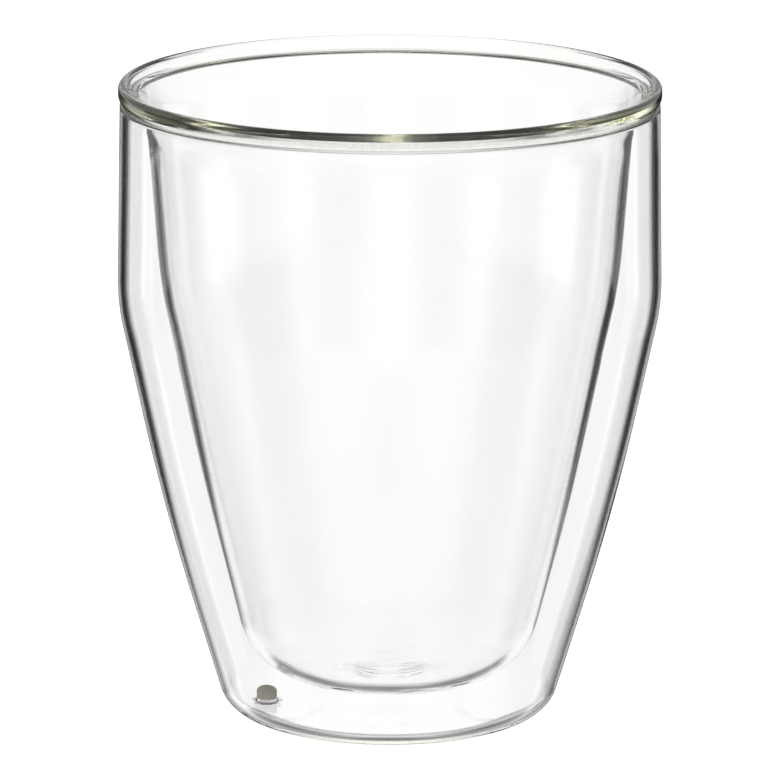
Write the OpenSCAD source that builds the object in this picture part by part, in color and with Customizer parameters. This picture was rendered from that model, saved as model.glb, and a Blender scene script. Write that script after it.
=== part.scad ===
// Double walled glass cup: two blown glass vessels, one inside the other, joined only at the mouth.
// The air between them insulates. A small vent in the foot, closed by a soft plug, let that air
// out while the rims were melted together.
// Millimetres, +Z up. The origin is the centre of the circle that the cup stands on.

/* [Outer vessel] */
// Height from the table to the crest of the rim
cup_h = 102; // [90:1:115]
// Outer diameter at the mouth, just under the rim bead
mouth_d = 85.2; // [82:0.2:90]
// How far the corner of the shoulder stands out beyond the mouth, before it is rounded
shoulder_out = 0.5; // [0:0.1:2]
// Height of that corner above the table
shoulder_h = 67; // [60:1:74]
// How far the corner half way down the taper sits in from the shoulder
belly_in = 7.2; // [6:0.1:8]
// Height of that corner above the table
belly_h = 33.5; // [28:0.5:40]
// Outer diameter at the corner of the foot, before it is rounded
foot_d = 51.4; // [48:0.2:56]
// Radius of the bend at the shoulder
shoulder_round = 34; // [15:1:60]
// Radius of the long swell of the taper
belly_round = 460; // [200:10:500]
// Radius of the heel, where the wall turns under
heel_round = 6; // [4:0.5:7]
// Thickness of the outer wall
outer_wall = 1.3; // [1:0.1:1.6]
// Diameter of the shallow hollow pushed up under the foot
hollow_d = 32; // [26:0.5:33]
// Diameter of the level middle of that hollow
hollow_flat_d = 16; // [10:0.5:20]
// Height of that hollow
hollow_rise = 0.8; // [0.3:0.1:1.5]
// Radius that blends the hollow into the foot
hollow_round = 60; // [20:1:80]

/* [Inner vessel] */
// Thickness of the inner wall
inner_wall = 1.4; // [1.1:0.1:1.7]
// Air between the walls at the mouth
mouth_gap = 3; // [2.4:0.1:3.6]
// Air between the walls at the shoulder
shoulder_gap = 5.5; // [4.5:0.1:6.5]
// Air between the walls half way down the taper
belly_gap = 5.9; // [5:0.1:7]
// Air between the walls at the foot
foot_gap = 4.7; // [4:0.1:6]
// Air between the two floors
floor_gap = 3.8; // [3.5:0.1:6]
// How much higher the inner shoulder sits than the outer one
shoulder_lift = 3; // [1:0.5:5]
// How much higher the inner belly corner sits than the outer one
belly_lift = 4.5; // [2:0.5:6]
// Radius of the bend at the inner shoulder
inner_shoulder_round = 97; // [40:1:120]
// Radius at the bottom corner of the inner vessel
bottom_round = 12.7; // [9:0.1:14]
// Extra glass at the middle of the inner floor, where the blown gather is thickest
floor_swell = 1; // [0.4:0.1:2.4]
// Height over which the inner wall flares out to the rim
flare_h = 4.6; // [3.8:0.1:5.4]
// Radius of that flare
flare_round = 10; // [6:0.5:12]

/* [Rim] */
// Height of the melted bead above the end of the outer wall
bead_h = 3; // [2.8:0.1:3.4]
// Radius of the bead's round crest
crest_round = 0.85; // [0.75:0.05:1]
// How far the bead stands proud of the outer wall
bead_proud = 0.25; // [0.1:0.05:0.4]
// Height of the neck where the bead draws in to meet the outer wall
bead_neck_h = 0.6; // [0.5:0.1:0.8]
// Radius that blends that neck into the side of the bead
neck_round = 1.4; // [1:0.1:1.6]
// Depth of the groove between the outer wall and the bead
groove_d = 0.65; // [0.4:0.05:0.75]
// Height over which the outer wall's lip rounds into that groove
groove_h = 0.6; // [0.4:0.1:0.8]
// How far the bead's inner side runs on in line with the inner wall before it leans out to the crest
lip_run = 0.35; // [0.2:0.05:0.5]
// Radius of that bend
lip_round = 2.5; // [1:0.1:3]
// Slit between the ends of the two walls, which the bead bridges
seal_gap = 0.55; // [0.4:0.05:0.7]
// How much higher the inner wall ends than the outer one
seal_step = 0.65; // [0.4:0.05:0.8]

/* [Vent] */
// Diameter of the vent drilled through the foot
vent_d = 2.9; // [2.4:0.1:3.2]
// Distance of the vent's centre inside the start of the heel
vent_inset = 1.7; // [1.7:0.1:2.4]
// Diameter at the foot of the glass collar drawn up round the vent
collar_d = 6.2; // [5.6:0.1:7]
// Width of the flat top of that collar
collar_land = 0.35; // [0.2:0.05:0.6]
// Height of that collar above the floor
collar_h = 0.5; // [0.3:0.1:0.8]
// Diameter of the plug's head, which sits on the collar
plug_head_d = 3.3; // [3.3:0.1:3.6]
// Height of the straight side of the plug's head
plug_side_h = 1.1; // [0.8:0.1:1.4]
// Height of the dome on the plug's head
plug_dome_h = 0.9; // [0.5:0.1:1]
// How far the plug's outer end stays inside the vent
plug_recess = 0.3; // [0.1:0.1:0.6]
// Clearance between the plug's stem and the wall of the vent
plug_fit = 0.02; // [0.01:0.01:0.05]

/* [Hidden] */

// Facets round the cup, and round the small vent parts
cup_fn = 180;
vent_fn = 64;
// A curve gets a point at least every this many degrees, and at least every this many millimetres
arc_step = 4;
arc_reach = 3;
// Largest share of a straight stretch that a rounding uses, next to another rounding and at an end
middle_share = 0.48;
end_share = 0.96;
// Turns smaller than this, in degrees, need no rounding
least_turn = 0.01;
// Overrun of the cuts, and the depth to which the collar is sunk into the floor
cut = 1;
collar_root = outer_wall / 2;

// Where the outer and the inner wall end and the bead begins
seal_z = cup_h - bead_h;
inner_seal_z = seal_z + seal_step;
// Heights of the two floors
floor_z = outer_wall;
inner_floor_z = floor_z + floor_gap + hollow_rise;

// Outer diameters at the corners of the shoulder and the taper
shoulder_d = mouth_d + 2 * shoulder_out;
belly_d = shoulder_d - 2 * belly_in;

// Corners of the outer vessel's outer face, from the axis to the mouth, and the radius at each
OUTER_CORNERS = [
    [0, hollow_rise],
    [hollow_flat_d / 2, hollow_rise],
    [hollow_d / 2, 0],
    [foot_d / 2, 0],
    [belly_d / 2, belly_h],
    [shoulder_d / 2, shoulder_h],
    [mouth_d / 2, seal_z]
];
OUTER_ROUNDS = [0, hollow_round, hollow_round, heel_round, belly_round, shoulder_round, 0];

// How far the outer wall leans out for each millimetre of height, below and above the belly
foot_lean = (belly_d - foot_d) / 2 / belly_h;
belly_lean = (shoulder_d - belly_d) / 2 / (shoulder_h - belly_h);

// Corners of the inner vessel's outer face, held inside the outer vessel by the gaps
INNER_CORNERS = [
    [0, inner_floor_z],
    [foot_d / 2 + foot_lean * inner_floor_z - outer_wall - foot_gap, inner_floor_z],
    [belly_d / 2 + belly_lean * belly_lift - outer_wall - belly_gap, belly_h + belly_lift],
    [shoulder_d / 2 - outer_wall - shoulder_gap, shoulder_h + shoulder_lift],
    [mouth_d / 2 - outer_wall - mouth_gap, inner_seal_z - flare_h],
    [mouth_d / 2 - outer_wall - seal_gap, inner_seal_z]
];
INNER_ROUNDS = [0, bottom_round, belly_round, inner_shoulder_round, flare_round, 0];

// Unit vector, and a vector turned by an angle
function unit(v) = v / norm(v);
function turned(v, angle) = [
    v[0] * cos(angle) - v[1] * sin(angle),
    v[0] * sin(angle) + v[1] * cos(angle)
];
// The normal on the left of a stretch, which points into the glass
function left_of(u) = [-u[1], u[0]];

// Signed turn, in degrees, of a path at its middle point of three
function turn_at(a, b, c) =
    let (u = unit(b - a), w = unit(c - b))
    atan2(u[0] * w[1] - u[1] * w[0], u * w);

// Length that a rounding at corner i takes from the straight stretches on its two sides
function rounding_run(p, radii, i) =
    let (
        back = norm(p[i] - p[i - 1]) * (i == 1 ? end_share : middle_share),
        ahead = norm(p[i + 1] - p[i]) * (i == len(p) - 2 ? end_share : middle_share),
        turn = abs(turn_at(p[i - 1], p[i], p[i + 1]))
    )
    min(radii[i] * tan(turn / 2), back, ahead);

// Points of the arc that rounds corner i
function corner_arc(p, radii, i) =
    let (turn = turn_at(p[i - 1], p[i], p[i + 1]))
    abs(turn) < least_turn ? [p[i]] :
    let (
        run = rounding_run(p, radii, i),
        radius = run / tan(abs(turn) / 2),
        u = unit(p[i] - p[i - 1]),
        side = left_of(u) * sign(turn),
        centre = p[i] - u * run + side * radius,
        arc_length = radius * abs(turn) * PI / 180,
        steps = ceil(max(abs(turn) / arc_step, arc_length / arc_reach, 1))
    )
    [for (k = [0:steps]) centre - turned(side * radius, turn * k / steps)];

// A path of corners with each one rounded by its radius
function rounded_path(p, radii) = [
    for (i = [0:len(p) - 1])
        each (i == 0 || i == len(p) - 1 ? [p[i]] : corner_arc(p, radii, i))
];

// The path moved to its left by a wall's thickness. cap is the direction of the cut across its end.
function wall_face(p, wall, cap) = [
    for (i = [0:len(p) - 1])
        let (
            n0 = left_of(unit(p[max(i, 1)] - p[max(i, 1) - 1])),
            n1 = left_of(unit(p[min(i, len(p) - 2) + 1] - p[min(i, len(p) - 2)])),
            across = i == len(p) - 1 ? unit(cap) : unit(n0 + n1)
        )
        p[i] + across * wall / (across * n0)
];

function reversed(p) = [for (i = [len(p) - 1:-1:0]) p[i]];

OUTER_PATH = rounded_path(OUTER_CORNERS, OUTER_ROUNDS);
OUTER_BACK = wall_face(OUTER_PATH, outer_wall, [-1, 0]);
INNER_FACE = rounded_path(INNER_CORNERS, INNER_ROUNDS);
INNER_END = INNER_FACE[len(INNER_FACE) - 1] - INNER_FACE[len(INNER_FACE) - 2];
INNER_EVEN_BACK = wall_face(INNER_FACE, inner_wall, left_of(INNER_END));

// The inner floor rises in a low swell from the start of the bottom corner to the axis
inner_flat_r = INNER_EVEN_BACK[1][0];
swell_steps = 12;
INNER_SWELL = [
    for (k = [0:swell_steps - 1])
        let (share = k / swell_steps)
        [inner_flat_r * share, inner_floor_z + inner_wall + floor_swell * (1 + cos(180 * share)) / 2]
];
INNER_BACK = concat(INNER_SWELL, [for (i = [1:len(INNER_EVEN_BACK) - 1]) INNER_EVEN_BACK[i]]);

// The outer wall's lip, rounded into the groove under the bead
path_end = OUTER_PATH[len(OUTER_PATH) - 1];
lip_start = path_end - unit(path_end - OUTER_PATH[len(OUTER_PATH) - 2]) * groove_h;
lip_steps = 6;
OUTER_LIP = [
    for (k = [0:lip_steps])
        let (a = 90 * k / lip_steps)
        [
            lip_start[0] - (lip_start[0] - path_end[0] + groove_d) * (1 - cos(a)),
            lip_start[1] + (path_end[1] - lip_start[1]) * sin(a)
        ]
];
OUTER_FACE = concat([for (i = [0:len(OUTER_PATH) - 2]) OUTER_PATH[i]], OUTER_LIP);

// The ends of the walls, on which the bead is seated
outer_end = OUTER_LIP[lip_steps];
outer_back_end = OUTER_BACK[len(OUTER_BACK) - 1];
inner_end = INNER_FACE[len(INNER_FACE) - 1];
inner_lip = INNER_BACK[len(INNER_BACK) - 1];

// The bead's section goes up the side, round the crest to where the inner side leaves it, and down
bead_out = mouth_d / 2 + bead_proud;
crest_at = [bead_out - crest_round, cup_h - crest_round];
lip_bend = inner_lip + unit(INNER_END) * lip_run;
to_bend = lip_bend - crest_at;
crest_turn = (360 + atan2(to_bend[1], to_bend[0]) - acos(crest_round / norm(to_bend))) % 360;
crest_steps = 24;
CREST = [
    for (k = [0:crest_steps])
        let (a = crest_turn * k / crest_steps)
        crest_at + crest_round * [cos(a), sin(a)]
];
BEAD_SIDE = rounded_path([outer_end, [bead_out, seal_z + bead_neck_h], CREST[0]], [0, neck_round, 0]);
BEAD_INSIDE = rounded_path([CREST[crest_steps], lip_bend, inner_lip], [0, lip_round, 0]);

// The vent's centre lies on the -X side, just inside the start of the heel
heel_start = foot_d / 2 - rounding_run(OUTER_CORNERS, OUTER_ROUNDS, 3);
vent_x = vent_inset - heel_start;
collar_top_z = floor_z + collar_h;

// Section of the collar: a flat land round the vent that sweeps down to the floor in a hollow curve
collar_land_r = vent_d / 2 + collar_land;
collar_sweep_w = collar_d / 2 - collar_land_r;
sweep_steps = 8;
COLLAR_SWEEP = [
    for (k = [0:sweep_steps])
        let (a = 90 * k / sweep_steps)
        [collar_d / 2 - collar_sweep_w * sin(a), collar_top_z - collar_h * cos(a)]
];

// Section of the plug's domed head
dome_steps = 10;
PLUG_DOME = [
    for (k = [0:dome_steps])
        let (a = 90 * k / dome_steps)
        [plug_head_d / 2 * cos(a), collar_top_z + plug_side_h + plug_dome_h * sin(a)]
];

module revolve(points, facets) {
    rotate_extrude($fn = facets)
        polygon(points);
}

// Shell between a face and its back, as one turned solid
module vessel(face, back) {
    revolve(concat(face, reversed(back)), cup_fn);
}

module vent_collar() {
    translate([vent_x, 0, 0])
        revolve(concat([[0, floor_z - collar_root], [collar_d / 2, floor_z - collar_root]],
                       COLLAR_SWEEP, [[0, collar_top_z]]), vent_fn);
}

module vent_bore() {
    translate([vent_x, 0, -cut])
        cylinder(h = collar_top_z + 2 * cut, d = vent_d, $fn = vent_fn);
}

module outer_vessel() {
    color("gainsboro", 0.35)
        difference() {
            union() {
                vessel(OUTER_FACE, OUTER_BACK);
                vent_collar();
            }
            vent_bore();
        }
}

module inner_vessel() {
    color("whitesmoke", 0.35)
        vessel(INNER_FACE, INNER_BACK);
}

module rim_bead() {
    color("darkseagreen", 0.6)
        revolve(concat(BEAD_SIDE, [for (k = [1:crest_steps]) CREST[k]],
                       [for (k = [1:len(BEAD_INSIDE) - 1]) BEAD_INSIDE[k]],
                       [inner_end, outer_back_end]), cup_fn);
}

// A stem that fills the vent, and a head that sits on the collar
module vent_plug() {
    stem_r = vent_d / 2 - plug_fit;
    color("tan")
        translate([vent_x, 0, 0])
            revolve(concat([[0, plug_recess], [stem_r, plug_recess], [stem_r, collar_top_z],
                            [plug_head_d / 2, collar_top_z]], PLUG_DOME), vent_fn);
}

outer_vessel();
inner_vessel();
rim_bead();
vent_plug();
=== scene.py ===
"""Looks of the double walled glass cup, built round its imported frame.

The cup is two turned glass vessels joined by a melted rim bead, with a soft plug in the vent of its foot.
Each vessel is turned by Geometry Nodes from a profile that repeats the part's own sizes.
"""

import logging
import math
from dataclasses import dataclass, field
from enum import Enum

import bmesh
import bpy
import numpy as np
from mathutils import Matrix, Quaternion, Vector


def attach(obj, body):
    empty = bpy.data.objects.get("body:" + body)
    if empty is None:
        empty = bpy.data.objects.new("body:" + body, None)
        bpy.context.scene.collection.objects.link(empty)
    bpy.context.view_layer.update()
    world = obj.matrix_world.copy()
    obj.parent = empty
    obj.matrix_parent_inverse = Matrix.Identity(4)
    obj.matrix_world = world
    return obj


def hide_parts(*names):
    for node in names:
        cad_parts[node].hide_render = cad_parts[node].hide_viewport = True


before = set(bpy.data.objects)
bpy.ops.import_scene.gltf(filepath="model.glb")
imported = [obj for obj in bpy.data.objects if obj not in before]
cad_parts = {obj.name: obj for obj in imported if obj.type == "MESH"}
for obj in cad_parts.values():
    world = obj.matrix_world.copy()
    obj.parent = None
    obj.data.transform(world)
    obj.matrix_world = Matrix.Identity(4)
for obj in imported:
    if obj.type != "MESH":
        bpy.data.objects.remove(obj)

LOG = logging.getLogger("cup")
MM = 0.001
BODY = "root"
QUARTER = math.pi / 2
LIP_POINTS = 13
CREST_POINTS = 40
ARCH_POINTS = 9
DOME_POINTS = 19
LIGHT_BOUNCES = 200
WHITE = (1.0, 1.0, 1.0, 1.0)
STREAK_SQUASH = (1.0, 1.0, 0.35)
STREAK_SPAN = (0.42, 0.72)
ALL_SEAM = 0.99

Span = tuple[float, float]
Triple = tuple[float, float, float]
Colour = Triple
Stops = tuple[Span, ...]
Socket = bpy.types.NodeSocket


class Node(Enum):
    """The solids of the frame that the cup is made of."""

    OUTER = "outer_vessel"
    INNER = "inner_vessel"
    BEAD = "rim_bead"
    PLUG = "vent_plug"


class Mark(Enum):
    """Values that a profile point carries into the turned mesh."""

    LEAN = "lean"
    WAVE = "wave"
    DRIFT = "drift"
    SWIRL = "swirl"
    SEAM = "seam"


@dataclass(frozen=True)
class CupSizes:
    """Real sizes of the cup in millimetres, the same as in the part's source."""

    cup_h: float = 102.0
    mouth_d: float = 85.2
    shoulder_d: float = 86.2
    shoulder_h: float = 67.0
    belly_d: float = 71.8
    belly_h: float = 33.5
    foot_d: float = 51.4
    shoulder_round: float = 34.0
    belly_round: float = 460.0
    heel_round: float = 6.0
    outer_wall: float = 1.3
    hollow_d: float = 32.0
    hollow_flat_d: float = 16.0
    hollow_rise: float = 0.8
    hollow_round: float = 60.0
    inner_wall: float = 1.4
    mouth_gap: float = 3.0
    shoulder_gap: float = 5.5
    belly_gap: float = 5.9
    foot_gap: float = 4.7
    floor_gap: float = 3.8
    shoulder_lift: float = 3.0
    belly_lift: float = 4.5
    inner_shoulder_round: float = 97.0
    bottom_round: float = 12.7
    floor_swell: float = 1.0
    flare_h: float = 4.6
    flare_round: float = 10.0
    bead_h: float = 3.0
    crest_round: float = 0.85
    bead_proud: float = 0.25
    groove_d: float = 0.65
    groove_h: float = 0.6
    bead_neck_h: float = 0.6
    neck_round: float = 1.4
    lip_run: float = 0.35
    lip_round: float = 2.5
    seal_gap: float = 0.55
    seal_step: float = 0.65
    vent_d: float = 2.9
    vent_inset: float = 1.7
    collar_d: float = 6.2
    collar_land: float = 0.35
    collar_h: float = 0.5
    plug_head_d: float = 3.3
    plug_side_h: float = 1.1
    plug_dome_h: float = 0.9
    plug_recess: float = 0.3
    plug_fit: float = 0.02

    @property
    def seal_z(self) -> float:
        """Height where the two walls end and the bead begins."""
        return self.cup_h - self.bead_h

    @property
    def inner_floor_z(self) -> float:
        """Height of the inner vessel's underside."""
        return self.outer_wall + self.floor_gap + self.hollow_rise

    @property
    def collar_top_z(self) -> float:
        """Height of the flat land round the vent."""
        return self.outer_wall + self.collar_h

    def outer_corners(self) -> list[Triple]:
        """Corners of the outer face from the axis to the mouth, each as radius, height and rounding."""
        return [
            (0.0, self.hollow_rise, 0.0),
            (self.hollow_flat_d / 2, self.hollow_rise, self.hollow_round),
            (self.hollow_d / 2, 0.0, self.hollow_round),
            (self.foot_d / 2, 0.0, self.heel_round),
            (self.belly_d / 2, self.belly_h, self.belly_round),
            (self.shoulder_d / 2, self.shoulder_h, self.shoulder_round),
            (self.mouth_d / 2, self.seal_z, 0.0),
        ]

    def inner_corners(self) -> list[Triple]:
        """Corners of the inner vessel's outer face, held inside the outer vessel by the gaps."""
        foot_lean = (self.belly_d - self.foot_d) / 2 / self.belly_h
        belly_lean = (self.shoulder_d - self.belly_d) / 2 / (self.shoulder_h - self.belly_h)
        foot_r = self.foot_d / 2 + foot_lean * self.inner_floor_z - self.outer_wall - self.foot_gap
        belly_r = self.belly_d / 2 + belly_lean * self.belly_lift - self.outer_wall - self.belly_gap
        shoulder_r = self.shoulder_d / 2 - self.outer_wall - self.shoulder_gap
        back_r = self.mouth_d / 2 - self.outer_wall
        return [
            (0.0, self.inner_floor_z, 0.0),
            (foot_r, self.inner_floor_z, self.bottom_round),
            (belly_r, self.belly_h + self.belly_lift, self.belly_round),
            (shoulder_r, self.shoulder_h + self.shoulder_lift, self.inner_shoulder_round),
            (back_r - self.mouth_gap, self.seal_z + self.seal_step - self.flare_h, self.flare_round),
            (back_r - self.seal_gap, self.seal_z + self.seal_step, 0.0),
        ]


def unit(v: np.ndarray) -> np.ndarray:
    """The vector at length one."""
    return v / np.linalg.norm(v)


def left_of(u: np.ndarray) -> np.ndarray:
    """The normal on the left of a stretch, which points into the glass."""
    return np.array([-u[1], u[0]])


@dataclass(frozen=True)
class Rounding:
    """How corners become arcs, in degrees, millimetres and shares of a straight stretch."""

    arc_step: float = 2.0
    reach: float = 0.6
    middle_share: float = 0.48
    end_share: float = 0.96
    least_turn: float = 0.01

    def run(self, p: np.ndarray, radii: list[float], i: int) -> float:
        """Length that the rounding at corner i takes from the stretches on its two sides."""
        back = np.linalg.norm(p[i] - p[i - 1]) * (self.end_share if i == 1 else self.middle_share)
        ahead = np.linalg.norm(p[i + 1] - p[i]) * (self.end_share if i == len(p) - 2 else self.middle_share)
        return float(min(radii[i] * math.tan(abs(self.turn(p, i)) / 2), back, ahead))

    def turn(self, p: np.ndarray, i: int) -> float:
        """Signed turn of the path at corner i, in radians."""
        u, w = unit(p[i] - p[i - 1]), unit(p[i + 1] - p[i])
        return math.atan2(u[0] * w[1] - u[1] * w[0], float(u @ w))

    def arc(self, p: np.ndarray, radii: list[float], i: int) -> list[np.ndarray]:
        """Points of the arc that rounds corner i."""
        turn = self.turn(p, i)
        if abs(turn) < math.radians(self.least_turn):
            return [p[i]]
        run = self.run(p, radii, i)
        radius = run / math.tan(abs(turn) / 2)
        u = unit(p[i] - p[i - 1])
        side = left_of(u) * math.copysign(radius, turn)
        centre = p[i] - u * run + side
        by_turn = math.ceil(abs(turn) / math.radians(self.arc_step))
        steps = max(by_turn, math.ceil(radius * abs(turn) / self.reach))
        points = []
        for k in range(steps + 1):
            a = turn * k / steps
            points.append(centre - np.array([
                side[0] * math.cos(a) - side[1] * math.sin(a),
                side[0] * math.sin(a) + side[1] * math.cos(a),
            ]))
        return points

    def path(self, corners: list[Triple]) -> np.ndarray:
        """A path of corners with each one rounded, and its straight stretches cut short.

        Args:
            corners: Radius, height and rounding of each corner, in millimetres.

        Returns:
            The points of the path, one row each.
        """
        p = np.array([c[:2] for c in corners])
        radii = [c[2] for c in corners]
        points = [p[0]]
        for i in range(1, len(p) - 1):
            points.extend(self.arc(p, radii, i))
        points.append(p[-1])
        return self.shortened(np.array(points))

    def shortened(self, points: np.ndarray) -> np.ndarray:
        """The same path with no stretch longer than the reach."""
        cut = [points[0]]
        for a, b in zip(points[:-1], points[1:]):
            pieces = max(1, math.ceil(np.linalg.norm(b - a) / self.reach - 1e-6))
            cut.extend(a + (b - a) * k / pieces for k in range(1, pieces + 1))
        return np.array(cut)


def path_normals(p: np.ndarray) -> tuple[np.ndarray, np.ndarray]:
    """The left normal at each point, shared between its two stretches, and that of the stretch before it."""
    stretches = np.array([left_of(unit(b - a)) for a, b in zip(p[:-1], p[1:])])
    before = np.vstack([stretches[:1], stretches])
    both = before + np.vstack([stretches, stretches[-1:]])
    return both / np.linalg.norm(both, axis=1)[:, None], before


def wall_face(p: np.ndarray, wall: float, cap: np.ndarray) -> np.ndarray:
    """The path moved to its left by a wall's thickness.

    Args:
        p: Points of the face.
        wall: Thickness in millimetres.
        cap: Direction of the cut across the path's end.

    Returns:
        The points of the back, as many as the face has.
    """
    across, before = path_normals(p)
    across[-1] = unit(cap)
    return p + across * (wall / np.sum(across * before, axis=1))[:, None]


def linked(name: str, data: bpy.types.ID) -> bpy.types.Object:
    """A new object in the scene."""
    made = bpy.data.objects.new(name, data)
    bpy.context.scene.collection.objects.link(made)
    return made


@dataclass
class Profile:
    """Half section of a turned piece, with the marks that its points carry."""

    points: np.ndarray
    marks: dict[Mark, np.ndarray] = field(default_factory=dict)

    @classmethod
    def joined(cls, parts: list[tuple[np.ndarray, bool]]) -> "Profile":
        """One profile out of stretches that follow each other.

        Args:
            parts: Points of each stretch, and whether it is a joint with another piece.

        Returns:
            The profile, with its joints marked as seams.
        """
        rows, seam = [], []
        for points, joint in parts:
            for p in points:
                if rows and np.linalg.norm(rows[-1] - p) < 1e-9:
                    seam[-1] = max(seam[-1], float(joint))
                    continue
                rows.append(np.asarray(p, dtype=float))
                seam.append(float(joint))
        return cls(np.array(rows), {Mark.SEAM: np.array(seam)})

    @property
    def height(self) -> np.ndarray:
        """Height of each point."""
        return self.points[:, 1]

    def to_object(self, name: str) -> bpy.types.Object:
        """The profile as a loose row of points in the XZ plane, in metres."""
        mesh = bpy.data.meshes.new(name)
        mesh.from_pydata([(r * MM, 0.0, z * MM) for r, z in self.points], [], [])
        lean = -path_normals(self.points)[0]
        vectors = mesh.attributes.new(Mark.LEAN.value, "FLOAT_VECTOR", "POINT")
        vectors.data.foreach_set("vector", np.column_stack([lean[:, 0], 0 * lean[:, 0], lean[:, 1]]).ravel())
        for mark in (Mark.WAVE, Mark.DRIFT, Mark.SWIRL, Mark.SEAM):
            values = self.marks.get(mark, np.zeros(len(self.points)))
            mesh.attributes.new(mark.value, "FLOAT", "POINT").data.foreach_set("value", values)
        return linked(name, mesh)


def ramp(values: np.ndarray, start: float, end: float) -> np.ndarray:
    """Smooth steps from 0 at start to 1 at end."""
    t = np.clip((values - start) / (end - start), 0.0, 1.0)
    return t * t * (3 - 2 * t)


def straight(a: np.ndarray, b: np.ndarray, pieces: int = 3) -> np.ndarray:
    """Points of a straight stretch, its ends included."""
    return np.array([a + (b - a) * k / pieces for k in range(pieces + 1)])


class TreeWriter:
    """Short ways to add and join the nodes of one tree."""

    def __init__(self, tree: bpy.types.NodeTree) -> None:
        """Keeps the tree that is written."""
        self.tree = tree

    def node(self, kind: str, *sources: object, **given: object) -> bpy.types.Node:
        """A new node, fed with sources in order. Given names with a capital are inputs, others settings."""
        made = self.tree.nodes.new(kind)
        for name, value in given.items():
            if name[0].isupper():
                self.feed(made.inputs[name], value)
            else:
                setattr(made, name, value)
        for socket, source in zip(made.inputs, sources):
            self.feed(socket, source)
        return made

    def feed(self, socket: Socket, source: object) -> None:
        """Links a socket to a source, or gives it a plain value."""
        if isinstance(source, Socket):
            self.tree.links.new(source, socket)
        else:
            socket.default_value = source

    def math(self, operation: str, *sources: object, clamp: bool = False) -> Socket:
        """A Math node's result."""
        return self.node("ShaderNodeMath", *sources, operation=operation, use_clamp=clamp).outputs[0]

    def times(self, first: object, second: object) -> Socket:
        """The product of two numbers."""
        return self.math("MULTIPLY", first, second)

    def less(self, first: object, second: object) -> Socket:
        """The first number less the second."""
        return self.math("SUBTRACT", first, second)

    def vector(self, operation: str, first: object, second: object) -> Socket:
        """A Vector Math node's result. SCALE takes a number second."""
        made = self.node("ShaderNodeVectorMath", first, operation=operation)
        self.feed(made.inputs["Scale"] if operation == "SCALE" else made.inputs[1], second)
        return made.outputs["Vector"]

    def combine(self, *sources: object) -> Socket:
        """A vector from its three numbers."""
        return self.node("ShaderNodeCombineXYZ", *sources).outputs[0]

    def separate(self, source: object) -> tuple[Socket, ...]:
        """The three numbers of a vector."""
        return tuple(self.node("ShaderNodeSeparateXYZ", source).outputs)

    def step(self, value: object, start: float, end: float) -> Socket:
        """A smooth step of a value from 0 at start to 1 at end."""
        made = self.node("ShaderNodeMapRange", value, start, end, 0.0, 1.0, interpolation_type="SMOOTHSTEP")
        return made.outputs[0]

    def level(self, at: object, stops: Stops) -> Socket:
        """A level by angle.

        Args:
            at: Share of the way from the first stop to the last.
            stops: Angles in degrees, each with its level, and no more than 32.

        Returns:
            The level there.
        """
        made = self.node("ShaderNodeValToRGB", at)
        marks = made.color_ramp.elements
        marks[1].position = 1.0
        shares = [(degrees - stops[0][0]) / (stops[-1][0] - stops[0][0]) for degrees, _ in stops]
        for share in shares[1:-1]:
            marks.new(share)
        for mark, share, (_, level) in zip(marks, shares, stops):
            mark.position, mark.color = share, (level, level, level, 1.0)
        return made.outputs[0]

    def choose(self, switch: object, off: object, on: object) -> Socket:
        """One of two values by a switch that is 0 or 1, and a blend between."""
        made = self.node("ShaderNodeMix", data_type="FLOAT", Factor=switch)
        self.feed(made.inputs[2], off)
        self.feed(made.inputs[3], on)
        return made.outputs[0]

    def blend(self, switch: object, off: object, on: object) -> Socket:
        """The same for two colours."""
        made = self.node("ShaderNodeMix", data_type="RGBA", Factor=switch)
        self.feed(made.inputs[6], off)
        self.feed(made.inputs[7], on)
        return made.outputs[2]

    def pass_through(self, kind: str, geometry: Socket, **given: object) -> Socket:
        """Sends geometry through a node, and gives what comes out."""
        return self.node(kind, Geometry=geometry, **given).outputs["Geometry"]


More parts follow.
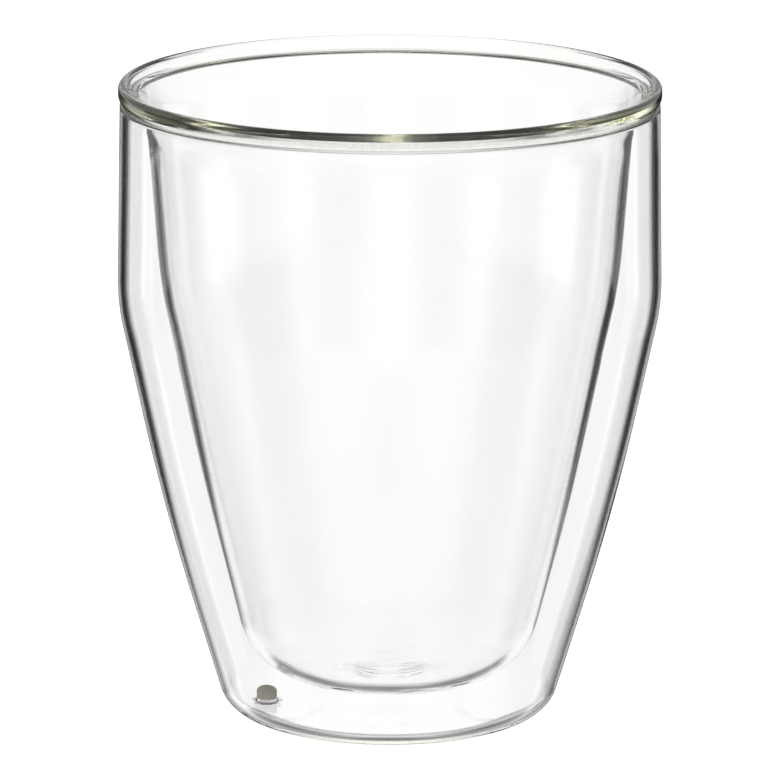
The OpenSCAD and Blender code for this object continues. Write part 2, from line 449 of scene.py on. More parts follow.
@dataclass(frozen=True)
class TurnedForm:
    """Inputs of the node tree that turns a profile into glass blown by hand, with lengths in millimetres.

    The wave is how far the faces roll in and out, the drift how far the hollow is blown off centre,
    and the swirl the low spiral that the pipe leaves in a floor.
    """

    segments: int = 192
    centre_x: float = 0.0
    wave: float = 0.1
    wave_reach: float = 16.0
    wave_squash: float = 0.45
    drift: float = 0.0
    swirl: float = 0.0
    swirl_pitch: float = 3.9
    ridge_power: float = 10.0
    break_scale: float = 1.1
    break_gain: float = 3.0
    break_level: float = 0.35
    break_seed: float = 7.0
    noise_gain: float = 3.0
    seed: float = 4.0

    def build(
        self, name: str, profile: Profile, glass: bpy.types.Material, seam: bpy.types.Material,
    ) -> bpy.types.Object:
        """Turns a profile into a plain mesh.

        Args:
            name: Name of the new object.
            profile: The half section.
            glass: Material of the faces.
            seam: Material of the faces that touch another piece.

        Returns:
            The object, with no modifier left on it.
        """
        given = {
            "Rings": len(profile.points), "Segments": self.segments, "Centre": self.centre_x * MM,
            "Wave": self.wave * MM, "Wave Reach": self.wave_reach * MM, "Wave Squash": self.wave_squash,
            "Drift": self.drift * MM, "Swirl": self.swirl * MM, "Swirl Pitch": self.swirl_pitch * MM,
            "Seed": self.seed, "Glass": glass, "Seam": seam,
        }
        source = profile.to_object(name + "_profile")
        modifier = source.modifiers.new("turned", "NODES")
        modifier.node_group = self.tree(given)
        for item in modifier.node_group.interface.items_tree:
            if item.item_type == "SOCKET" and item.in_out == "INPUT" and item.name in given:
                modifier[item.identifier] = given[item.name]
        made = plain_copy(source, name)
        bpy.data.objects.remove(source)
        return made

    def tree(self, given: dict[str, object]) -> bpy.types.GeometryNodeTree:
        """The shared tree, built once, with an input for each given value."""
        name = "turned_glass"
        if name in bpy.data.node_groups:
            return bpy.data.node_groups[name]
        tree = bpy.data.node_groups.new(name, "GeometryNodeTree")
        tree.interface.new_socket("Profile", in_out="INPUT", socket_type="NodeSocketGeometry")
        for title, value in given.items():
            number = "Int" if isinstance(value, int) else "Float"
            kind = "Material" if isinstance(value, bpy.types.Material) else number
            tree.interface.new_socket(title, in_out="INPUT", socket_type="NodeSocket" + kind)
        tree.interface.new_socket("Piece", in_out="OUTPUT", socket_type="NodeSocketGeometry")
        self.write(TreeWriter(tree))
        return tree

    def write(self, w: TreeWriter) -> None:
        """Writes the nodes: a grid is wrapped round the axis ring by ring, then rolled by noise."""
        given = w.node("NodeGroupInput").outputs
        points_round = w.math("ADD", given["Segments"], 1.0)
        grid = w.node("GeometryNodeMeshGrid", 1.0, 1.0, given["Rings"], points_round)
        across, around, _ = w.separate(w.node("GeometryNodeInputPosition").outputs[0])
        index = w.math("ROUND", w.times(w.math("ADD", across, 0.5), w.less(given["Rings"], 1.0)))
        angle = w.times(w.math("ADD", around, 0.5), 2 * math.pi)

        radius, _, height = w.separate(self.sample(w, index, None))
        side, _, rise = w.separate(self.sample(w, index, Mark.LEAN))
        c, s = w.math("COSINE", angle), w.math("SINE", angle)
        place = w.combine(w.times(radius, c), w.times(radius, s), height)
        out = w.combine(w.times(side, c), w.times(side, s), rise)

        squashed = w.vector("MULTIPLY", place, w.combine(1.0, 1.0, given["Wave Squash"]))
        roll = self.noise(w, squashed, w.math("DIVIDE", 1.0, given["Wave Reach"]), given["Seed"])
        rolled = w.times(w.times(roll, given["Wave"]), self.sample(w, index, Mark.WAVE))
        ridged = self.ridges(w, given, angle, radius, place)
        ridged = w.times(ridged, w.times(given["Swirl"], self.sample(w, index, Mark.SWIRL)))

        blown = w.times(given["Drift"], self.sample(w, index, Mark.DRIFT))
        shift = w.combine(w.math("ADD", given["Centre"], blown), 0.0, 0.0)
        moved = w.vector("SCALE", out, w.math("ADD", rolled, ridged))
        pushed = w.vector("ADD", w.vector("ADD", place, moved), shift)

        store = w.node(
            "GeometryNodeStoreNamedAttribute", data_type="FLOAT", domain="POINT",
            Geometry=grid.outputs["Mesh"], Name=Mark.SEAM.value, Value=self.sample(w, index, Mark.SEAM),
        )
        shape = w.pass_through("GeometryNodeSetPosition", store.outputs["Geometry"], Position=pushed)
        shape = w.pass_through("GeometryNodeMergeByDistance", shape, Distance=1e-6)
        shape = w.pass_through("GeometryNodeSetShadeSmooth", shape)
        shape = w.pass_through("GeometryNodeRealizeInstances", shape)
        shape = w.pass_through("GeometryNodeSetMaterial", shape, Material=given["Glass"])

        flag = w.node("GeometryNodeInputNamedAttribute", data_type="FLOAT", Name=Mark.SEAM.value)
        on_face = w.node("GeometryNodeFieldOnDomain", flag.outputs[0], data_type="FLOAT", domain="FACE")
        whole = w.math("GREATER_THAN", on_face.outputs[0], ALL_SEAM)
        shape = w.pass_through("GeometryNodeSetMaterial", shape, Selection=whole, Material=given["Seam"])
        w.node("NodeGroupOutput", shape)

    def ridges(self, w: TreeWriter, given: object, angle: Socket, radius: Socket, place: Socket) -> Socket:
        """The spiral ridges of the turning marks, broken up by noise, between 0 and 1."""
        turns = w.math("DIVIDE", angle, 2 * math.pi)
        phase = w.math("FRACT", w.less(w.math("DIVIDE", radius, given["Swirl Pitch"]), turns))
        ridge = w.math("POWER", w.math("SINE", w.times(phase, math.pi)), self.ridge_power)
        scale = w.math("DIVIDE", self.break_scale, given["Swirl Pitch"])
        broken = self.noise(w, place, scale, w.math("ADD", given["Seed"], self.break_seed))
        return w.times(ridge, w.math("MULTIPLY_ADD", broken, self.break_gain, self.break_level, clamp=True))

    @staticmethod
    def sample(w: TreeWriter, index: Socket, mark: Mark | None) -> Socket:
        """A mark of the profile's point with that index, or its place."""
        vector = mark in (None, Mark.LEAN)
        kind = "FLOAT_VECTOR" if vector else "FLOAT"
        if mark is None:
            value = w.node("GeometryNodeInputPosition").outputs[0]
        else:
            value = w.node("GeometryNodeInputNamedAttribute", data_type=kind, Name=mark.value).outputs[0]
        source = next(n for n in w.tree.nodes if n.type == "GROUP_INPUT")
        return w.node(
            "GeometryNodeSampleIndex", data_type=kind, domain="POINT",
            Geometry=source.outputs["Profile"], Value=value, Index=index,
        ).outputs[0]

    def noise(self, w: TreeWriter, place: object, scale: object, seed: object) -> Socket:
        """Slow noise between about -1 and 1."""
        made = w.node(
            "ShaderNodeTexNoise", noise_dimensions="4D",
            Vector=place, W=seed, Scale=scale, Detail=1.0, Roughness=0.35,
        )
        return w.times(w.less(made.outputs[0], 0.5), self.noise_gain)


def plain_copy(source: bpy.types.Object, name: str) -> bpy.types.Object:
    """The evaluated shape of an object as a new object with no modifiers."""
    graph = bpy.context.evaluated_depsgraph_get()
    mesh = bpy.data.meshes.new_from_object(source.evaluated_get(graph), depsgraph=graph)
    mesh.name = name
    return linked(name, mesh)


def finish_mesh(piece: bpy.types.Object) -> None:
    """Drops empty material slots, turns faces outward and keeps the borders of the seams sharp."""
    while None in piece.data.materials[:]:
        piece.data.materials.pop(index=piece.data.materials[:].index(None))
    shape = bmesh.new()
    shape.from_mesh(piece.data)
    bmesh.ops.recalc_face_normals(shape, faces=shape.faces)
    for edge in shape.edges:
        slots = {face.material_index for face in edge.link_faces}
        edge.smooth = len(slots) < 2
    shape.to_mesh(piece.data)
    shape.free()
    piece.data.update()


def joined_by(piece: bpy.types.Object, tool: bpy.types.Object, operation: str) -> bpy.types.Object:
    """The piece after an exact Boolean with a tool, which is removed."""
    name = piece.name
    modifier = piece.modifiers.new("cut", "BOOLEAN")
    modifier.operation = operation
    modifier.solver = "EXACT"
    modifier.object = tool
    made = plain_copy(piece, name)
    bpy.data.objects.remove(piece)
    bpy.data.objects.remove(tool)
    made.name = name
    return made


@dataclass(frozen=True)
class GlassFinish:
    """Clear glass with faint streaks in its tint and its face. Lengths are in millimetres."""

    tint: Colour = (0.998, 0.999, 0.998)
    streak_tint: Colour = (0.99, 0.993, 0.989)
    ior: float = 1.47
    streak_reach: float = 9.0
    streak_depth: float = 0.004

    def to_material(self, name: str) -> bpy.types.Material:
        """The finish as a material."""
        made, w, shader = new_material(name, {
            "Metallic": 0.0, "Roughness": 0.0, "IOR": self.ior, "Transmission Weight": 1.0,
        })
        streaks = w.node(
            "ShaderNodeGroup", node_tree=streak_group(),
            Place=w.node("ShaderNodeTexCoord").outputs["Object"],
            Reach=self.streak_reach * MM, Depth=self.streak_depth * MM,
            Clear=(*self.tint, 1.0), Streak=(*self.streak_tint, 1.0),
        )
        w.feed(shader.inputs["Base Color"], streaks.outputs["Tint"])
        w.feed(shader.inputs["Normal"], streaks.outputs["Normal"])
        return made


def new_material(
    name: str, values: dict[str, object],
) -> tuple[bpy.types.Material, TreeWriter, bpy.types.Node]:
    """A new material with values for its shader, then its writer and the shader."""
    made = bpy.data.materials.new(name)
    made.use_nodes = True
    shader = made.node_tree.nodes["Principled BSDF"]
    for title, value in values.items():
        shader.inputs[title].default_value = value
    return made, TreeWriter(made.node_tree), shader


def streak_group() -> bpy.types.ShaderNodeTree:
    """The shared group that draws faint streaks in glass, built once."""
    name = "glass_streaks"
    if name in bpy.data.node_groups:
        return bpy.data.node_groups[name]
    tree = bpy.data.node_groups.new(name, "ShaderNodeTree")
    for in_out, kind, titles in (
        ("INPUT", "Vector", ("Place",)), ("INPUT", "Float", ("Reach", "Depth")),
        ("INPUT", "Color", ("Clear", "Streak")), ("OUTPUT", "Color", ("Tint",)),
        ("OUTPUT", "Vector", ("Normal",)),
    ):
        for title in titles:
            tree.interface.new_socket(title, in_out=in_out, socket_type="NodeSocket" + kind)
    w = TreeWriter(tree)
    given = w.node("NodeGroupInput").outputs
    noise = w.node(
        "ShaderNodeTexNoise", Vector=w.vector("MULTIPLY", given["Place"], STREAK_SQUASH),
        Scale=w.math("DIVIDE", 1.0, given["Reach"]), Detail=2.0,
    ).outputs[0]
    bump = w.node("ShaderNodeBump", Strength=1.0, Distance=given["Depth"], Height=noise)
    tint = w.blend(w.step(noise, *STREAK_SPAN), given["Clear"], given["Streak"])
    w.node("NodeGroupOutput", Tint=tint, Normal=bump.outputs["Normal"])
    return tree


def seam_material(tint: Colour = (0.985, 0.987, 0.966)) -> bpy.types.Material:
    """Faces where two pieces are melted together: light passes them without bending."""
    values = {"Base Color": (*tint, 1.0), "Roughness": 0.0, "IOR": 1.0, "Transmission Weight": 1.0}
    return new_material("melted_seam", values)[0]


@dataclass(frozen=True)
class SiliconeFinish:
    """Soft matt silicone, faintly mottled and grained. Lengths are in millimetres."""

    light: Colour = (0.9, 0.82, 0.7)
    dark: Colour = (0.68, 0.61, 0.51)
    grain: float = 0.25
    grain_depth: float = 0.01
    roughness: float = 0.62

    def to_material(self, name: str) -> bpy.types.Material:
        """The finish as a material."""
        made, w, shader = new_material(name, {"Roughness": self.roughness})
        noise = w.node(
            "ShaderNodeTexNoise", Vector=w.node("ShaderNodeTexCoord").outputs["Object"],
            Scale=1 / (self.grain * MM), Detail=3.0,
        ).outputs[0]
        bump = w.node("ShaderNodeBump", Distance=self.grain_depth * MM, Height=noise)
        w.feed(shader.inputs["Base Color"], w.blend(noise, (*self.dark, 1.0), (*self.light, 1.0)))
        w.feed(shader.inputs["Normal"], bump.outputs["Normal"])
        return made


@dataclass(frozen=True)
class Blends:
    """Small measures of the visual model, in millimetres, where the blown faces fade into the exact ones."""

    lip_clear: float = 0.05
    floor_clear: float = 0.5
    outer_still: Span = (7.0, 0.5)
    inner_still: Span = (9.0, 1.0)
    foot_still: Span = (1.0, 9.0)
    drift_start: Span = (8.0, 30.0)
    face_wave: Span = (0.35, 0.6)
    swirl_base: float = 0.12
    swirl_top: float = 14.0
    swirl_rings: tuple[Triple, ...] = ((0.9, 2.5, 2.0), (1.0, 7.6, 1.3), (1.0, 15.6, 1.6))
    arch_rise: float = 0.9
    bore_reach: Span = (-1.0, 4.0)
    stem_chamfer: float = 0.15
    head_chamfer: float = 0.08


@dataclass
class CupMaker:
    """Builds the four pieces of the cup from its sizes."""

    sizes: CupSizes = field(default_factory=CupSizes)
    rounding: Rounding = field(default_factory=Rounding)
    blends: Blends = field(default_factory=Blends)

    def __post_init__(self) -> None:
        """Works out the four faces that everything else is taken from."""
        s = self.sizes
        self.outer_face = self.rounding.path(s.outer_corners())
        self.outer_back = wall_face(self.outer_face, s.outer_wall, np.array([-1.0, 0.0]))
        self.round_lip()
        self.inner_face = self.rounding.path(s.inner_corners())
        end = self.inner_face[-1] - self.inner_face[-2]
        self.inner_back = wall_face(self.inner_face, s.inner_wall, left_of(unit(end)))
        self.raise_floor()
        heel = np.array([c[:2] for c in s.outer_corners()])
        run = self.rounding.run(heel, [c[2] for c in s.outer_corners()], 3)
        self.vent_x = s.vent_inset - (s.foot_d / 2 - run)

    def round_lip(self) -> None:
        """Rounds the outer wall's lip into the groove under the bead."""
        s = self.sizes
        end = self.outer_face[-1]
        start = end - s.groove_h * unit(end - self.outer_face[-2])
        width = start[0] - end[0] + s.groove_d
        kept = self.outer_face[self.outer_face[:, 1] < start[1] - self.blends.lip_clear]
        lip = [
            (start[0] - width * (1 - math.cos(a)), start[1] + (end[1] - start[1]) * math.sin(a))
            for a in np.linspace(0.0, QUARTER, LIP_POINTS)
        ]
        self.outer_face = np.vstack([kept, lip])

    def raise_floor(self) -> None:
        """Swells the middle of the inner floor."""
        s = self.sizes
        p = np.array([c[:2] for c in s.inner_corners()])
        flat_r = p[1][0] - self.rounding.run(p, [c[2] for c in s.inner_corners()], 1)
        share = np.clip(self.inner_back[:, 0] / flat_r, 0.0, 1.0)
        low = self.inner_back[:, 1] < s.inner_floor_z + s.inner_wall + self.blends.floor_clear
        self.inner_back[:, 1] += np.where(low, s.floor_swell * (1 + np.cos(np.pi * share)) / 2, 0.0)

    def wall_profile(
        self, face: np.ndarray, back: np.ndarray, still: Span,
    ) -> tuple[Profile, np.ndarray, np.ndarray]:
        """Section of a vessel's wall.

        Args:
            face: Points of the face that looks out.
            back: Points of the face that looks in.
            still: How far under the bead the wave starts to fade, and where it has gone.

        Returns:
            The profile, which points are on its back, and how much of the wave is left at each.
        """
        made = Profile.joined([(face, False), (straight(face[-1], back[-1]), True), (back[::-1], False)])
        on_back = np.arange(len(made.points)) > len(face)
        seal_z = self.sizes.seal_z
        return made, on_back, 1 - ramp(made.height, seal_z - still[0], seal_z - still[1])

    def outer_profile(self) -> Profile:
        """Section of the outer vessel."""
        b = self.blends
        made, on_back, left = self.wall_profile(self.outer_face, self.outer_back, b.outer_still)
        on_face = b.face_wave[0] * ramp(made.height, *b.foot_still)
        made.marks[Mark.WAVE] = np.where(on_back, 1.0, on_face) * left
        return made

    def inner_profile(self) -> Profile:
        """Section of the inner vessel."""
        b = self.blends
        made, on_back, left = self.wall_profile(self.inner_face, self.inner_back, b.inner_still)
        made.marks[Mark.WAVE] = np.where(on_back, 1.0, b.face_wave[1]) * left
        made.marks[Mark.DRIFT] = np.where(on_back, 1.0, 0.0) * left * ramp(made.height, *b.drift_start)
        rings = sum(
            high * np.exp(-(((made.points[:, 0] - middle) / width) ** 2))
            for high, middle, width in b.swirl_rings
        )
        made.marks[Mark.SWIRL] = np.where(on_back & (made.height < b.swirl_top), b.swirl_base + rings, 0.0)
        return made

    def bead_profile(self) -> Profile:
        """Section of the melted bead, with a small arch over the slit between the walls."""
        s = self.sizes
        outer_end, inner_end = self.outer_face[-1], self.inner_face[-1]
        slit_out, lip = self.outer_back[-1], self.inner_back[-1]
        out = s.mouth_d / 2 + s.bead_proud
        fine = Rounding(arc_step=3.0, reach=0.25)
        side = fine.path([
            (*outer_end, 0.0), (out, s.seal_z + s.bead_neck_h, s.neck_round),
            (out, s.cup_h - s.crest_round, 0.0),
        ])
        centre = np.array([out, s.cup_h]) - s.crest_round
        bend = lip + s.lip_run * unit(self.inner_face[-1] - self.inner_face[-2])
        away = bend - centre
        last = math.atan2(away[1], away[0]) % (2 * math.pi) - math.acos(s.crest_round / np.linalg.norm(away))
        crest = np.array([
            centre + s.crest_round * np.array([math.cos(a), math.sin(a)])
            for a in np.linspace(0.0, last, CREST_POINTS)
        ])
        inside = fine.path([(*crest[-1], 0.0), (*bend, s.lip_round), (*lip, 0.0)])
        crest = np.vstack([side, crest[1:], inside[1:]])
        middle, half = (inner_end + slit_out) / 2, (slit_out - inner_end) / 2
        rise = self.blends.arch_rise * np.array([-half[1], half[0]])
        arch = np.array([
            middle - half * math.cos(a) + rise * math.sin(a) for a in np.linspace(0.0, math.pi, ARCH_POINTS)
        ])
        return Profile.joined([
            (crest, False), (straight(lip, inner_end), True),
            (arch, False), (straight(slit_out, outer_end), True),
        ])

    def collar_profile(self) -> Profile:
        """Section of the collar drawn up round the vent, sunk into the floor."""
        s = self.sizes
        land = s.vent_d / 2 + s.collar_land
        root, foot = s.outer_wall / 2, s.collar_d / 2
        sweep = [
            (foot - (foot - land) * math.sin(a), s.collar_top_z - s.collar_h * math.cos(a))
            for a in np.linspace(0.0, QUARTER, LIP_POINTS)
        ]
        return Profile(np.array([(0.0, root), (foot, root), *sweep, (0.0, s.collar_top_z)]))

    def bore_profile(self) -> Profile:
        """Section of the tool that cuts the vent."""
        bottom, top = self.blends.bore_reach
        vent_r = self.sizes.vent_d / 2
        return Profile(np.array([(0.0, bottom), (vent_r, bottom), (vent_r, top), (0.0, top)]))

    def plug_profile(self) -> Profile:
        """Section of the plug: a stem in the vent and a domed head on the collar."""
        s, b = self.sizes, self.blends
        stem, head = s.vent_d / 2 - s.plug_fit, s.plug_head_d / 2
        seat = s.collar_top_z
        side_top = seat + s.plug_side_h
        dome = [
            (head * math.cos(a), side_top + s.plug_dome_h * math.sin(a))
            for a in np.linspace(0.0, QUARTER, DOME_POINTS)
        ]
        corners = [
            (0.0, s.plug_recess), (stem - b.stem_chamfer, s.plug_recess),
            (stem, s.plug_recess + b.stem_chamfer), (stem, seat),
            (head - b.head_chamfer, seat), (head, seat + b.head_chamfer),
            *dome[:-1], (0.0, side_top + s.plug_dome_h),
        ]
        return Profile(Rounding(reach=0.3).shortened(np.array(corners)))

    def build(self) -> dict[Node, bpy.types.Object]:
        """Builds the pieces.

        Returns:
            The object of each node.
        """
        outer_glass = GlassFinish().to_material("outer_blown_glass")
        inner_glass = GlassFinish().to_material("inner_blown_glass")
        rim_glass = GlassFinish(
            tint=(0.995, 0.997, 0.985), streak_tint=(0.98, 0.985, 0.96),
        ).to_material("melted_rim_glass")
        silicone = SiliconeFinish().to_material("soft_silicone")
        seam = seam_material()
        outer = TurnedForm(wave=0.015, wave_reach=18.0, seed=2.0).build(
            "blown_outer_vessel", self.outer_profile(), outer_glass, seam)
        small = TurnedForm(segments=96, centre_x=self.vent_x, wave=0.0)
        for name, profile, operation in (
            ("collar", self.collar_profile(), "UNION"), ("bore", self.bore_profile(), "DIFFERENCE"),
        ):
            tool = small.build(name, profile, outer_glass, seam)
            finish_mesh(tool)
            finish_mesh(outer)
            outer = joined_by(outer, tool, operation)
        inner = TurnedForm(wave=0.03, wave_reach=17.0, drift=0.1, swirl=0.05, seed=5.0).build(
            "blown_inner_vessel", self.inner_profile(), inner_glass, seam)
        bead = TurnedForm(wave=0.0, seed=9.0).build("melted_rim_bead", self.bead_profile(), rim_glass, seam)
        plug = small.build("soft_vent_plug", self.plug_profile(), silicone, seam)
        made = {Node.OUTER: outer, Node.INNER: inner, Node.BEAD: bead, Node.PLUG: plug}
        for node, piece in made.items():
            finish_mesh(piece)
            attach(piece, BODY)
            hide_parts(node.value)
            LOG.info("%s: %d faces", piece.name, len(piece.data.polygons))
        return made


class SkyWriter(TreeWriter):
    """Writer of the world's tree, with what the world knows about the ray that reaches it.

    Turn is -1 to 1 round from straight ahead of the photo's camera, off its size and aside that in degrees.
    Rise is the height above the horizon in degrees, and depth counts the faces that the ray has met.
    """

    def __init__(self, tree: bpy.types.NodeTree) -> None:
        """Adds the nodes that tell the ray's direction and path."""
        super().__init__(tree)
        self.path = self.node("ShaderNodeLightPath").outputs
        self.depth = self.path["Ray Depth"]
        x, y, z = self.separate(self.node("ShaderNodeTexCoord").outputs["Generated"])
        self.turn = self.math("DIVIDE", self.math("ARCTAN2", x, y), math.pi)
        self.off = self.math("ABSOLUTE", self.turn)
        self.aside = self.times(self.off, 180.0)
        self.rise = self.times(self.math("ARCSINE", z), 180 / math.pi)


@dataclass(frozen=True)
class Surroundings:
    """White for the camera, and lit fields with dark flags between them for light that met the glass.

    Stops give a level by angle: round from straight ahead, or down from the horizon for the dips. Each pair
    of numbers is where a smooth step starts and ends, in degrees or in faces met.
    """

    glow: float = 1.06
    room_level: float = 0.9
    table: Stops = (
        (0, 1.0), (8, 1.0), (10, 0.8), (13, 0.7), (15.5, 0.12), (17, 0.02), (28, 0.02), (31, 0.4), (34, 1.0),
        (57, 1.0), (61, 0.4), (72, 0.4), (78, 1.0), (180, 1.0),
    )
    behind: Stops = (
        (0, 0.0), (98, 0.0), (107, 0.75), (118, 0.75), (127, 0.0), (142, 0.0), (151, 0.75), (163, 0.75),
        (172, 0.0), (180, 0.0),
    )
    low: Stops = (
        (-180, 1.0), (-162, 0.55), (-152, 0.55), (-134, 1.0), (-118, 0.55), (-106, 0.55), (-88, 1.0),
        (-72, 0.6), (-62, 0.6), (-52, 1.0), (-33, 1.0), (-28, 0.75), (-20, 0.5), (-9, 0.35), (-5.5, 1.0),
        (5.5, 1.0), (9, 0.35), (14, 0.2), (31, 0.15), (38, 0.9), (52, 1.0), (62, 0.6), (72, 0.6), (88, 1.0),
        (106, 0.55), (118, 0.55), (134, 1.0), (152, 0.55), (162, 0.55), (180, 1.0),
    )
    mirror: Stops = (
        (0, 0.02), (25, 0.02), (31, 0.4), (36, 0.95), (51, 0.95), (55, 0.1), (80, 0.1), (96, 0.6),
        (112, 0.75), (135, 0.5), (158, 0.75), (180, 0.5),
    )
    room: Stops = (
        (0, 0.95), (20, 0.95), (40, 0.75), (60, 0.5), (85, 0.35), (105, 0.2), (118, 0.2), (138, 0.9),
        (180, 0.95),
    )
    dip_ahead: Stops = (
        (0, 0.0), (32, 0.12), (37, 0.42), (42, 0.72), (48, 0.86), (56, 0.86), (60, 0.7), (66, 0.38),
        (75, 0.15), (90, 0.0),
    )
    dip_aside: Stops = (
        (0, 0.0), (30, 0.1), (35, 0.55), (38, 0.84), (50, 0.86), (56, 0.62), (66, 0.25), (90, 0.0),
    )
    dip_round: Stops = (
        (0, 1.0), (30, 1.0), (36, 0.9), (48, 0.5), (60, 0.45), (120, 0.5), (180, 0.7),
    )
    guided: Stops = (
        (0, 0.95), (10, 0.85), (18, 0.4), (30, 0.18), (42, 0.12), (55, 0.05), (85, 0.025), (110, 0.015),
        (180, 0.012),
    )
    guided_gain: float = 2.0
    guided_tint: Colour = (1.0, 1.0, 0.74)
    mirror_top: float = 0.55
    top: float = 0.7
    inside_power: float = 0.15
    band_power: float = 2.6
    flag_shares: Triple = (0.08, 0.5, 0.82)

    turned_depth: Span = (3.2, 3.8)
    grazing_depth: Span = (4.2, 4.8)
    band_depth: Span = (5.2, 5.8)
    inside_depth: Span = (8.2, 8.8)
    guided_depth: Span = (24.0, 40.0)
    bounced_faces: Span = (2.3, 2.8)

    zenith: Span = (45.0, 70.0)
    horizon: Span = (-1.0, 7.0)
    mirror_horizon: Span = (-7.0, -1.0)
    flag_gap_top: Span = (-9.0, -6.0)
    flag_gap_foot: Span = (-18.0, -15.5)
    low_edge: Span = (-21.0, -18.0)
    guided_edge: Span = (-26.0, -18.0)
    dip_edge: Span = (-36.0, -30.0)
    aside_edge: Span = (5.0, 13.0)
    notch_edge: Span = (45.0, 52.0)

    def build(self) -> None:
        """Makes the world and gives it to the scene."""
        world = bpy.data.worlds.new("studio")
        world.use_nodes = True
        bpy.context.scene.world = world
        world.node_tree.nodes.clear()
        w = SkyWriter(world.node_tree)
        guided = w.times(w.step(w.depth, *self.guided_depth), w.step(w.rise, *self.guided_edge))
        far_glow = w.times(w.level(w.off, self.guided), self.guided_gain)
        through = w.choose(guided, self.through(w), far_glow)
        over = w.step(w.rise, *self.mirror_horizon)
        mirrored = w.choose(over, w.level(w.off, self.mirror), self.mirror_top)
        strength = w.choose(w.path["Is Glossy Ray"], self.room_level, mirrored)
        strength = w.choose(w.path["Is Transmission Ray"], strength, w.times(through, self.glow))
        back = w.node(
            "ShaderNodeBackground", Color=w.blend(guided, WHITE, (*self.guided_tint, 1.0)),
            Strength=w.choose(w.path["Is Camera Ray"], strength, self.glow),
        )
        w.node("ShaderNodeOutputWorld", Surface=back.outputs[0])

    def through(self, w: SkyWriter) -> Socket:
        """Level for light that went through glass and was not led round inside it.

        Args:
            w: Writer of the world's tree.

        Returns:
            The level, from 0 to 1.
        """
        turned = w.step(w.depth, *self.turned_depth)
        bounced = w.less(w.depth, w.path["Transmission Depth"])
        straight_on = w.less(1.0, w.step(bounced, *self.bounced_faces))
        inside = w.times(w.step(w.depth, *self.inside_depth), straight_on)
        table = w.math("POWER", self.flags(w), w.choose(inside, 1.0, self.inside_power))
        table = w.choose(w.step(w.rise, *self.low_edge), w.choose(turned, 1.0, self.low_field(w)), table)
        band = w.less(w.step(w.depth, *self.band_depth), inside)
        table = w.math("POWER", table, w.choose(band, 1.0, self.band_power))
        upper = w.choose(w.step(w.rise, *self.zenith), w.level(w.off, self.room), self.top)
        lit = w.choose(w.step(w.rise, *self.horizon), table, upper)
        dark = w.times(w.times(self.dips(w), turned), w.level(w.off, self.dip_round))
        return w.choose(w.step(w.rise, *self.dip_edge), w.less(1.0, dark), lit)

    def flags(self, w: SkyWriter) -> Socket:
        """The lit table, with the flags behind the camera shown most to light that grazed one wall."""
        gap = w.less(w.step(w.rise, *self.flag_gap_foot), w.step(w.rise, *self.flag_gap_top))
        grazing = w.less(1.0, w.step(w.depth, *self.grazing_depth))
        banded = w.less(w.step(w.depth, *self.band_depth), w.step(w.depth, *self.inside_depth))
        least, in_band, at_edge = self.flag_shares
        share = w.math("MULTIPLY_ADD", grazing, at_edge, w.math("MULTIPLY_ADD", banded, in_band, least))
        shown = w.math("MAXIMUM", w.less(1.0, gap), share)
        return w.less(w.level(w.off, self.table), w.times(shown, w.level(w.off, self.behind)))

    def low_field(self, w: SkyWriter) -> Socket:
        """The table close to the cup, whose notches ahead are lit for light that crossed both walls."""
        near = w.level(w.math("MULTIPLY_ADD", w.turn, 0.5, 0.5), self.low)
        crossed = w.less(w.step(w.depth, *self.band_depth), w.step(w.aside, *self.notch_edge))
        return w.choose(w.math("MAXIMUM", crossed, 0.0), near, 1.0)

    def dips(self, w: SkyWriter) -> Socket:
        """How dark it is under the cup, by the fall of the ray."""
        fall = w.math("DIVIDE", w.rise, -90.0)
        return w.choose(
            w.step(w.aside, *self.aside_edge), w.level(fall, self.dip_ahead), w.level(fall, self.dip_aside))


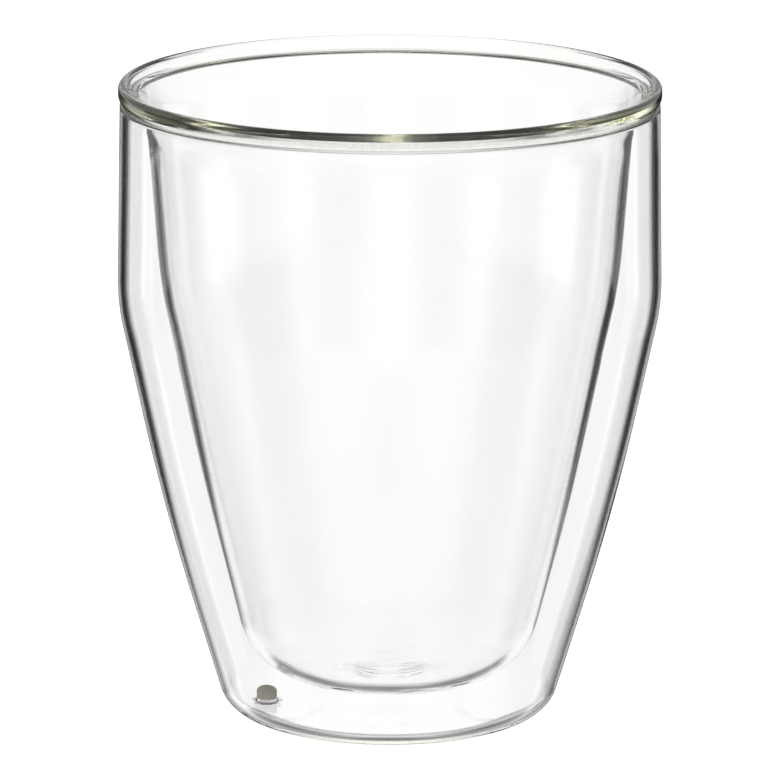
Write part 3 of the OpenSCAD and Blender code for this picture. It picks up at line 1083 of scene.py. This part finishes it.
@dataclass(frozen=True)
class Studio:
    """A white table top, one soft lamp and the photo's camera. Lengths are in millimetres."""

    lens: float = 348.99
    sensor: float = 36.0
    eye: Triple = (0.0, -1170.81, 324.81)
    aim: Triple = (0.1, 0.0, 52.2)
    roll: float = 0.16
    floor_r: float = 700.0
    floor_drop: float = 0.02
    floor_sides: int = 128
    floor_grey: float = 0.16
    lamp_d: float = 700.0
    lamp_watts: float = 3.0
    lamp_at: Triple = (-500.0, -500.0, 1000.0)
    lamp_aim: Triple = (0.0, 0.0, 50.0)

    def build(self) -> None:
        """Builds the whole studio."""
        self.add_floor()
        Surroundings().build()
        self.add_light()
        self.add_camera()

    def add_floor(self) -> None:
        """A round white table top that keeps a faint shadow, and is clear to light that met the glass."""
        ring = [
            (self.floor_r * MM * math.cos(a), self.floor_r * MM * math.sin(a), -self.floor_drop * MM)
            for a in np.linspace(0.0, 2 * math.pi, self.floor_sides, endpoint=False)
        ]
        mesh = bpy.data.meshes.new("floor")
        mesh.from_pydata(ring, [], [list(range(len(ring)))])
        floor = linked("floor", mesh)
        white, w, shader = new_material("floor_white", {
            "Base Color": (self.floor_grey,) * 3 + (1.0,), "Roughness": 1.0, "Specular IOR Level": 0.0,
            "Emission Color": WHITE,
        })
        path = w.node("ShaderNodeLightPath").outputs
        w.feed(shader.inputs["Emission Strength"], path["Is Camera Ray"])
        met_glass = w.math("MAXIMUM", path["Is Transmission Ray"], path["Is Glossy Ray"])
        bare = w.node("ShaderNodeBsdfTransparent").outputs[0]
        clear = w.node("ShaderNodeMixShader", met_glass, shader.outputs[0], bare)
        w.feed(white.node_tree.nodes["Material Output"].inputs["Surface"], clear.outputs[0])
        mesh.materials.append(white)

    def add_light(self) -> None:
        """One large soft light above the camera's left, which the glass doesn't show."""
        lamp = bpy.data.lights.new("key", "AREA")
        lamp.shape = "DISK"
        lamp.size = self.lamp_d * MM
        lamp.energy = self.lamp_watts
        key = linked("key", lamp)
        key.rotation_euler = self.put(key, self.lamp_at, self.lamp_aim).to_euler()
        key.visible_glossy = key.visible_transmission = False

    def add_camera(self) -> None:
        """The camera at the photo's place."""
        lens = bpy.data.cameras.new("camera")
        lens.lens = self.lens
        lens.sensor_fit = "HORIZONTAL"
        lens.sensor_width = self.sensor
        lens.clip_start = 0.05
        lens.clip_end = 20.0
        camera = linked("camera", lens)
        turn = self.put(camera, self.eye, self.aim).to_matrix().to_4x4()
        camera.rotation_euler = (turn @ Matrix.Rotation(math.radians(self.roll), 4, "Z")).to_euler()
        bpy.context.scene.camera = camera

    @staticmethod
    def put(thing: bpy.types.Object, at: Triple, aim: Triple) -> Quaternion:
        """Puts a lamp or camera in its place, and gives the turn that aims it."""
        thing.location = [v * MM for v in at]
        return (Vector([v * MM for v in aim]) - thing.location).to_track_quat("-Z", "Y")


def main() -> None:
    """Builds the cup, its studio and the view."""
    logging.basicConfig(level=logging.INFO, format="%(name)s: %(message)s")
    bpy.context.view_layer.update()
    scene = bpy.context.scene
    scene.view_settings.view_transform = "Standard"
    for kind in ("max", "transmission", "glossy"):
        setattr(scene.cycles, kind + "_bounces", LIGHT_BOUNCES)
    CupMaker().build()
    Studio().build()


if __name__ == "__main__":
    main()
